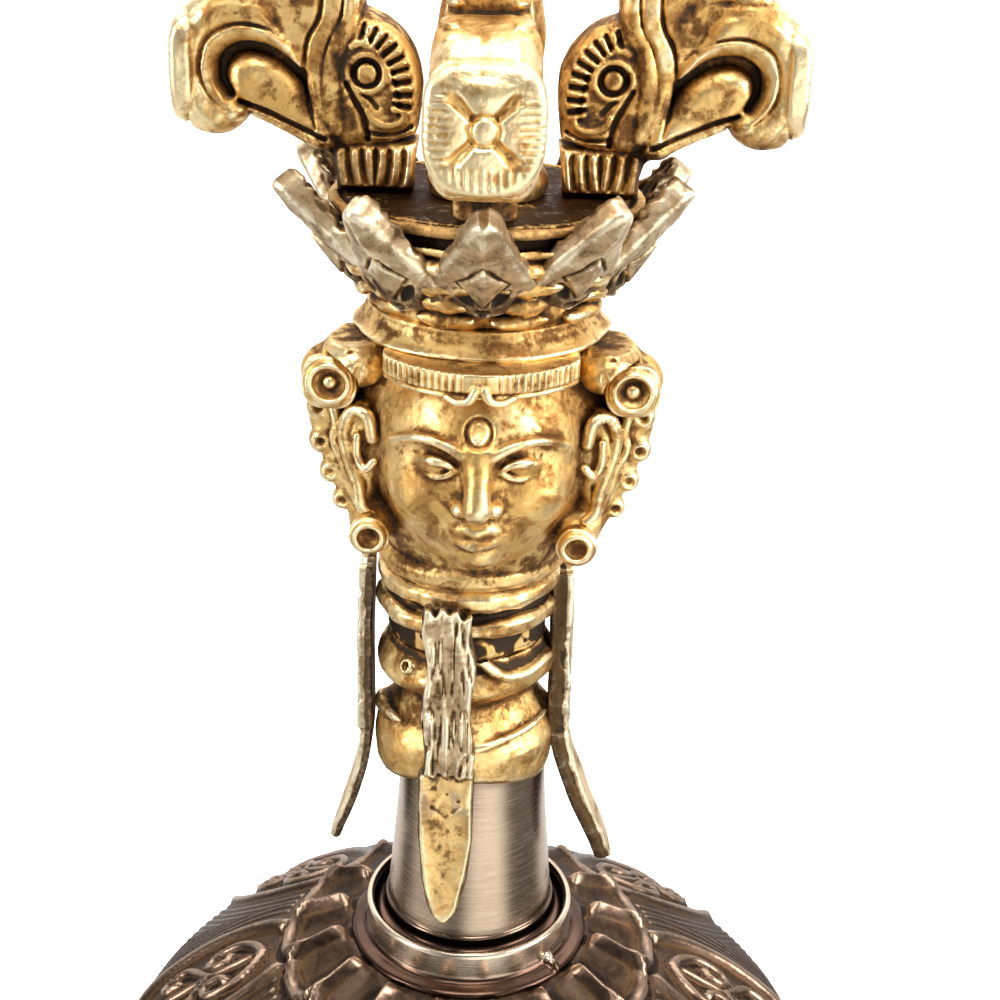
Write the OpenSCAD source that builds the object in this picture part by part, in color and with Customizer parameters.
// Hand bell with a half-sceptre crown: a cast bell, a hollow stacked handle held by one
// tie rod, and a clapper that hangs inside on a ring. The bell stands mouth down on z = 0
// and its face looks towards -Y.

/* [Bell] */
// Outer diameter of the mouth
mouth_d = 93; // [88:1:98]
// Outer diameter of the shoulder
shoulder_d = 68.8; // [66:0.2:71]
// Height of the crown plate above the mouth
crown_z = 70.4; // [69:0.1:72]
// Thickness of the wall
wall = 3.1; // [2.6:0.1:3.6]

/* [Ferrule and collar] */
// Height of the crown collar
collar_h = 3.6; // [3:0.1:4.4]
// Outer radius of the collar at its top edge
collar_r = 9.3; // [9.1:0.1:9.8]
// Radius of the ferrule at its top
ferrule_r = 6.45; // [6.2:0.05:6.6]

/* [Handle] */
// Sideways offset of the neck casting
neck_shift = -0.7; // [-1:0.1:0]
// Width of a ribbon
ribbon_w = 4.2; // [3.6:0.1:4.8]
// Thickness of a ribbon
ribbon_t = 1.6; // [1.3:0.1:1.8]

/* [Lotus and crown] */
// Height of the prongs' seat above the mouth
seat_z = 139; // [138.5:0.1:140]
// Radius of the seat
seat_r = 12.1; // [12:0.1:12.4]
// Number of lotus petals
petals = 10; // [10:1:10]
// Thickness of a prong's shaft
prong_t = 6.4; // [5.6:0.1:6.6]
// Height of the crown above its seat
crown_h = 41; // [40:0.5:43]

/* [Clapper] */
// Radius of the clapper's bob
bob_r = 6.5; // [6:0.1:6.8]
// Height of the bob's centre above the mouth
bob_z = 15; // [14.5:0.5:16]

/* [Hidden] */
$fn = 96;

gold = [0.80, 0.60, 0.28];
bronze = [0.36, 0.27, 0.22];
pale_brass = [0.66, 0.60, 0.48];
dark_iron = [0.22, 0.21, 0.20];

rod_r = 2.5;          // tie rod
bore_r = 2.6;         // every bore that the rod runs through
rod_top = seat_z - 2.2;
plate_t = 3.5;        // crown plate of the bell
vase_bottom = 88.3;   // the vase stands on the ferrule's top edge
ferrule_bore_r = 5.2;
vase_top = 101.6;
rings_split = 105.9;  // between the two neck rings
head_bottom = 108.4;
roll_bottom = 128.6;  // hair roll on top of the head
bowl_bottom = 130.6;  // underside of the lotus bowl
seat_t = 1.8;
spigot_h = 4;         // spigot of the vase, which centres it in the ferrule
hub_r = 2.3;          // top of the centre prong, where the prongs' tips meet
ring_face_r = 7.4;    // round band of the neck rings that the ribbons are fixed to
petal_lean = 36;      // degrees from upright
petal_t = 1.9;
petal_foot_r = 8.8;   // where the petals' inner faces start
petal_foot_z = 133;
washer_t = 1;
shoulder_t = 3;       // collar of the tie rod under the washer
eye_r = 2.9;          // eye of the tie rod, centre line
eye_wire_r = 0.9;
link_r = 3.2;         // hanger ring, centre line
link_wire_r = 0.7;
hang_gap = 0.05;      // play where one loop hangs in another
under_crown = crown_z - plate_t;
eye_z = under_crown - washer_t - shoulder_t - 2.7;
eye_wire_z = eye_z - eye_r;                                  // first pivot
link_z = eye_wire_z + eye_wire_r + link_wire_r + hang_gap - link_r;
link_wire_z = link_z - link_r;                               // second pivot
stem_eye_r = 2.7;
stem_eye_z = link_wire_z + link_wire_r + hang_gap + eye_wire_r - stem_eye_r;
stem_r = 1.6;

// Catmull-Rom curve through a list of points, with n steps in each span.
function bend(a, b, c, d, t) =
    0.5 * (2 * b + (c - a) * t + (2 * a - 5 * b + 4 * c - d) * t * t + (3 * b - a - 3 * c + d) * t * t * t);
function smooth(p, n = 6) = [
    for (i = [0:len(p) - 2], k = [0:n - 1])
        bend(p[max(i - 1, 0)], p[i], p[i + 1], p[min(i + 2, len(p) - 1)], k / n),
    p[len(p) - 1]
];

// A solid turned about the Z axis from half an outline of [radius, height] points.
module turned(outline) {
    rotate_extrude() polygon(outline);
}

// A wire ring about the Y axis, centred at height z.
module wire_ring(r, wire_r, z) {
    translate([0, 0, z]) rotate([90, 0, 0]) rotate_extrude() translate([r, 0]) circle(wire_r, $fn = 32);
}

module rod_bore(low, high) {
    translate([0, 0, low]) cylinder(r = bore_r, h = high - low);
}

// ---- Bell ----

mouth_r = mouth_d / 2;
shoulder_r = shoulder_d / 2;

// Outside of the bell from the crown plate to the lip.
bell_outside = smooth([
    [10.9, crown_z], [19.9, crown_z - 4.6], [27.6, crown_z - 9.7], [32.2, crown_z - 14],
    [shoulder_r, crown_z - 21], [shoulder_r - 0.6, 40], [shoulder_r - 0.7, 30],
    [shoulder_r + 1.2, 19], [mouth_r - 6, 9], [mouth_r - 1.4, 3], [mouth_r, 1.6]]);

// Inside of the bell from the lip to the crown plate.
bell_inside = smooth([
    [mouth_r - wall, 0], [mouth_r - wall - 1.8, 3], [mouth_r - wall - 5.9, 9.2],
    [shoulder_r - 1.9, 19.5], [shoulder_r - wall - 0.8, 30], [shoulder_r - wall - 0.6, 40],
    [shoulder_r - wall, 48.6], [29, 54.4], [24.4, 58.6], [17, 63.2], [9, under_crown]]);

module bell_body() {
    color(bronze) turned(concat(
        [[bore_r, crown_z]], bell_outside, [[mouth_r, 0]], bell_inside, [[bore_r, under_crown]]));
}

module crown_collar() {
    inner_r = collar_r - 0.45;
    top = crown_z + collar_h;
    color(bronze) turned([
        [inner_r, crown_z], [10.8, crown_z], [10.8, crown_z + 0.3], [9.9, crown_z + 0.8],
        [collar_r + 0.25, crown_z + 1.1], [collar_r, top - 0.1], [collar_r - 0.1, top], [inner_r, top]]);
}

module crown_washer() {
    color(dark_iron) translate([0, 0, under_crown - washer_t]) difference() {
        cylinder(r = 8, h = washer_t);
        translate([0, 0, -1]) cylinder(r = bore_r, h = washer_t + 2);
    }
}

// ---- Rod and ferrule ----

module tie_rod() {
    color(dark_iron) {
        translate([0, 0, under_crown - washer_t - shoulder_t]) cylinder(r = 4.4, h = shoulder_t);
        translate([0, 0, under_crown - washer_t - 1])
            cylinder(r = rod_r, h = rod_top - under_crown + washer_t + 1);
        wire_ring(eye_r, eye_wire_r, eye_z);
    }
}

module rod_nut() {
    color(dark_iron) translate([0, 0, bowl_bottom + 2]) difference() {
        cylinder(d = 9, h = 3.4, $fn = 6);
        translate([0, 0, -1]) cylinder(r = rod_r, h = 6);
    }
}

module ferrule() {
    flange_top = crown_z + collar_h - 0.1;
    flare = smooth([
        [7.5, flange_top + 0.9], [7.2, 78], [6.85, 82], [ferrule_r + 0.1, 85.5], [ferrule_r, vase_bottom]]);
    color(bronze) turned(concat(
        [[ferrule_bore_r, crown_z], [8.1, crown_z], [8.1, flange_top - 0.5], [7.9, flange_top + 0.1],
         [7.6, flange_top + 0.3]],
        flare, [[ferrule_bore_r, vase_bottom]]));
}

// ---- Neck ----

module at_neck() {
    translate([neck_shift, 0, 0]) children();
}

module neck_vase() {
    outline = smooth([
        [6.45, vase_bottom], [6.85, vase_bottom + 1.2], [7.5, vase_bottom + 2.4], [7.9, 92.2], [7.6, 94],
        [6.5, 95.9], [6.4, 96.8], [7.3, 98.6], [7.8, 100.2], [7.3, vase_top]]);
    color(gold) difference() {
        union() {
            at_neck() turned(concat([[0, vase_bottom]], outline, [[0, vase_top]]));
            translate([0, 0, vase_bottom - spigot_h]) cylinder(r = ferrule_bore_r - 0.05, h = spigot_h + 1);
        }
        rod_bore(vase_bottom - spigot_h - 1, vase_top + 1);
    }
}

// A ring of the neck between two heights, with a round band of radius ring_face_r.
module neck_ring(low, high, waist_r) {
    band = 0.8;
    color(gold) difference() {
        at_neck() turned([
            [0, low], [waist_r, low], [waist_r, high - 2 * band - 0.5], [ring_face_r, high - 2 * band],
            [ring_face_r, high - band], [ring_face_r - 0.3, high - 0.4], [waist_r, high], [0, high]]);
        rod_bore(low - 1, high + 1);
    }
}

module neck_ring_lower() {
    neck_ring(vase_top, rings_split, 6.6);
}

module neck_ring_upper() {
    neck_ring(rings_split, head_bottom, 6.9);
}

// Side view of a ribbon as [radius, height], from its fixed end to its tip.
ribbon_line = [[8.55, 107.6], [8.9, 99], [8.8, 91], [9.7, 86], [11.3, 80]];

// A ribbon at the front. It hangs off the upper neck ring and rests on the vase.
module ribbon_strip(tip_drop, offset) {
    inner = smooth(ribbon_line);
    outer = [for (i = [len(inner) - 1:-1:0]) inner[i] + [ribbon_t, 0]];
    drop = [for (p = concat(inner, outer)) p[1] < 91 ? [p[0], 91 - (91 - p[1]) * tip_drop] : p];
    lug_z = head_bottom - 1.6;
    translate([offset, 0, 0]) intersection() {
        union() {
            rotate([90, 0, -90]) translate([0, 0, -ribbon_w / 2]) linear_extrude(ribbon_w) polygon(drop);
            difference() {
                translate([-1, -ring_face_r - ribbon_t, lug_z]) cube([2, 2 * ribbon_t, 0.8]);
                translate([-offset, 0, lug_z - 1]) cylinder(r = ring_face_r, h = 3);
            }
        }
        ribbon_outline();
    }
}

// Front view of a ribbon: a straight strap that ends in a tongue.
module ribbon_outline() {
    half = ribbon_w / 2;
    tongue = smooth([[half, 91], [half + 0.15, 87], [half - 0.3, 83], [half - 1.1, 79], [0.3, 74]]);
    outline = concat([[half, 109]], tongue);
    rotate([90, 0, 0]) linear_extrude(20) polygon(concat(
        outline, [for (i = [len(outline) - 1:-1:0]) [-outline[i][0], outline[i][1]]]));
}

module ribbon_front() {
    color(pale_brass) at_neck() ribbon_strip(0.98, -1.1);
}

module ribbon_left() {
    color(pale_brass) at_neck() rotate([0, 0, -90]) ribbon_strip(1, 0);
}

module ribbon_right() {
    color(pale_brass) at_neck() rotate([0, 0, 90]) ribbon_strip(1.18, 0);
}

module ribbon_back() {
    color(pale_brass) at_neck() rotate([0, 0, 180]) ribbon_strip(1, 0);
}

// ---- Head ----

ear_x = 9.6;          // middle of an ear
rosette_at = [11.6, -5.2, 125.4];
rosette_r = 2.4;
earring_at = [8.2, -6.4, 113];
earring_r = 1.9;
disc_t = 2;           // thickness of the rosettes and earrings

// A disc that faces the front, with its back plane at y = at[1].
module front_disc(at, r, t) {
    translate(at) rotate([90, 0, 0]) cylinder(r = r, h = t, $fn = 64);
}

module face() {
    hull() {
        translate([0, -4.7, 120.4]) sphere(7.9, $fn = 32);
        translate([0, -7.4, 114.9]) sphere(3.9, $fn = 32);
    }
}

module ear() {
    translate([ear_x, -2.6, 115]) rotate([90, 0, 0]) linear_extrude(2.6)
        polygon(smooth([[-2.5, -2], [0, -2.4], [1.6, 2], [3.4, 6], [3.9, 10.5], [2.4, 12.8], [-2.5, 12]]));
}

module head() {
    skull = smooth([
        [7, head_bottom], [8.6, 111], [9.9, 116], [10.3, 121], [10.1, 125.5], [9.4, roll_bottom]]);
    color(gold) difference() {
        union() {
            turned(concat([[0, head_bottom]], skull, [[0, roll_bottom]]));
            face();
            ear();
            mirror([1, 0, 0]) ear();
        }
        rod_bore(head_bottom - 1, roll_bottom + 1);
        band_space();
        for (side = [-1, 1]) {
            front_disc([side * rosette_at[0], rosette_at[1], rosette_at[2]], rosette_r + 0.02, 12);
            front_disc([side * earring_at[0], earring_at[1], earring_at[2]], earring_r + 0.02, 12);
        }
    }
}

band_low = 126.2;
band_in = 9.1;        // inner radius of the headband
band_half = 7.6;      // half of the headband's width

// The part of the brow, as wide as the headband, in front of radius band_in.
module band_space() {
    difference() {
        translate([-band_half, -20, band_low]) cube([2 * band_half, 20, roll_bottom - band_low]);
        cylinder(r = band_in, h = 200);
    }
}

module headband() {
    outer = smooth([[11.5, band_low], [11.6, band_low + 1], [11.2, roll_bottom]]);
    color(gold) intersection() {
        turned(concat([[0, band_low]], outer, [[0, roll_bottom]]));
        band_space();
    }
}

module hair_roll() {
    outline = smooth([
        [10.9, roll_bottom], [10.4, roll_bottom + 0.8], [9.5, roll_bottom + 1.4], [8.8, bowl_bottom]]);
    color(gold) difference() {
        turned(concat([[0, roll_bottom]], outline, [[0, bowl_bottom]]));
        rod_bore(roll_bottom - 1, bowl_bottom + 1);
    }
}

// A cup-shaped ornament: a disc with a hollow in its front.
module cupped_disc(at, r) {
    color(gold) difference() {
        front_disc(at, r, disc_t);
        translate([at[0], at[1] - disc_t - 0.9, at[2]]) sphere(r * 0.72, $fn = 48);
    }
}

module rosette_left() {
    cupped_disc([-rosette_at[0], rosette_at[1], rosette_at[2]], rosette_r);
}

module rosette_right() {
    cupped_disc(rosette_at, rosette_r);
}

module earring_left() {
    cupped_disc([-earring_at[0], earring_at[1], earring_at[2]], earring_r);
}

module earring_right() {
    cupped_disc(earring_at, earring_r);
}

// ---- Lotus ----

bowl_top = seat_z - seat_t;

// The bowl's solid shape. Its conical side carries the petals.
module bowl_side() {
    turned([[0, bowl_bottom], [8.2, bowl_bottom], [11.6, 136.2], [11.6, bowl_top], [0, bowl_top]]);
}

module lotus_bowl() {
    color(gold) difference() {
        bowl_side();
        rod_bore(bowl_bottom - 1, bowl_top);
        translate([0, 0, bowl_bottom + 2]) cylinder(r = 6, h = 10);
    }
}

module lotus_seat() {
    color(gold) translate([0, 0, bowl_top]) cylinder(r = seat_r, h = seat_t);
}

// A pointed petal that leans out from the bowl, at the front.
module petal() {
    half = smooth([[1.7, 0], [2.85, 1.4], [3.1, 3], [2.5, 5.6], [1.6, 8.2], [0.8, 10.2]]);
    outline = concat(half, [for (i = [len(half) - 1:-1:0]) [-half[i][0], half[i][1]]]);
    color(pale_brass) difference() {
        translate([0, -petal_foot_r, petal_foot_z]) rotate([90 + petal_lean, 0, 0])
            linear_extrude(petal_t) polygon(outline);
        bowl_side();
        translate([0, 0, bowl_top]) cylinder(r = seat_r, h = 12);
        translate([0, 0, 120]) cylinder(r = 30, h = bowl_bottom - 120);
    }
}

module lotus_petal(i) {
    rotate([0, 0, (i - 1) * 360 / petals]) petal();
}

// ---- Crown ----

curl_face_r = 23.4;   // the flat end of a prong's curl
curl_back_r = 18.5;
curl_d = 7.9;

// Side view of a prong as [radius, height above the seat].
prong_side = concat(
    smooth([
        [5.7, 0.3], [5.5, 4], [5.7, 8], [6.9, 11.3], [9.4, 13.4], [10.6, 17],
        [11.6, 22], [10.6, 27], [7, 31.4], [hub_r, 33.4]]),
    smooth([
        [hub_r, 37.2], [6.6, 36.4], [11.4, 33.4], [15, 28.4], [16.4, 22.6], [18.2, 18.4],
        [21.6, 16], [curl_face_r, 12.6]]),
    smooth([[curl_face_r, 5], [20.4, 3.9], [18, 4.6], [15.3, 3.6], [12.9, 2.2], [12, 0.3]]),
    [[12, 0], [5.7, 0]]);

// A prong that stands on the seat at the front, with its curl outwards.
module prong() {
    color(gold) intersection() {
        difference() {
            union() {
                translate([0, 0, seat_z]) rotate([90, 0, -90]) translate([0, 0, -prong_t / 2])
                    linear_extrude(prong_t) polygon(prong_side);
                translate([0, -curl_back_r, seat_z + 8.6]) rotate([90, 0, 0])
                    cylinder(d = curl_d, h = curl_face_r - curl_back_r);
            }
            translate([0, 0, seat_z + 30]) cylinder(r = hub_r, h = 15);
        }
        translate([0, 0, seat_z]) rotate([90, 0, 0]) linear_extrude(40) prong_front_view();
    }
}

// Front view of a prong: broad at the head and narrow at the tip.
module prong_front_view() {
    half = smooth([
        [3.2, 0], [3.2, 3.5], [curl_d / 2, 6], [curl_d / 2, 11], [3.2, 15], [2.9, 24], [2.2, 33], [1.3, 41]]);
    polygon(concat(half, [for (i = [len(half) - 1:-1:0]) [-half[i][0], half[i][1]]]));
}

module prong_front() {
    prong();
}

module prong_left() {
    rotate([0, 0, -90]) prong();
}

module prong_right() {
    rotate([0, 0, 90]) prong();
}

module prong_back() {
    rotate([0, 0, 180]) prong();
}

finial_z = seat_z + 36;

module centre_prong() {
    outline = smooth([
        [4.4, seat_z], [4.6, seat_z + 1.6], [3.2, seat_z + 4], [3.5, seat_z + 9], [4, seat_z + 13],
        [2.8, seat_z + 19], [hub_r, seat_z + 28], [hub_r, finial_z]]);
    color(gold) turned(concat([[0, seat_z]], outline, [[0, finial_z]]));
}

module crown_finial() {
    top = seat_z + crown_h;
    bud = smooth([
        [hub_r, finial_z], [hub_r - 0.2, finial_z + 1.4], [1.9, finial_z + 2.4], [0.9, top - 1], [0.3, top]]);
    color(gold) turned(concat([[0, finial_z]], bud, [[0, top]]));
}

// ---- Clapper ----

module hanger_ring() {
    color(dark_iron) rotate([0, 0, 90]) wire_ring(link_r, link_wire_r, link_z);
}

module clapper_stem() {
    foot = bob_z + 3;
    top = stem_eye_z - stem_eye_r;
    color(dark_iron) {
        wire_ring(stem_eye_r, eye_wire_r, stem_eye_z);
        translate([0, 0, foot]) cylinder(r = stem_r, h = top - foot);
    }
}

module clapper_bob() {
    body = smooth([
        [bob_r * 0.35, bob_z - bob_r * 1.25], [bob_r * 0.8, bob_z - bob_r * 0.75], [bob_r, bob_z],
        [bob_r * 0.8, bob_z + bob_r * 0.65], [2.6, bob_z + bob_r * 1.1], [2.4, bob_z + bob_r * 1.4]]);
    color(dark_iron) difference() {
        turned(concat([[0, bob_z - bob_r * 1.25]], body, [[0, bob_z + bob_r * 1.4]]));
        translate([0, 0, bob_z + 3]) cylinder(r = stem_r, h = 20);
    }
}

bell_body();
crown_collar();
crown_washer();
tie_rod();
rod_nut();
ferrule();
neck_vase();
neck_ring_lower();
neck_ring_upper();
head();
headband();
hair_roll();
rosette_left();
rosette_right();
earring_left();
earring_right();
ribbon_front();
ribbon_left();
ribbon_right();
ribbon_back();
lotus_bowl();
lotus_seat();
for (i = [1:petals])
    lotus_petal(i);
prong_front();
prong_left();
prong_right();
prong_back();
centre_prong();
crown_finial();
hanger_ring();
clapper_stem();
clapper_bob();
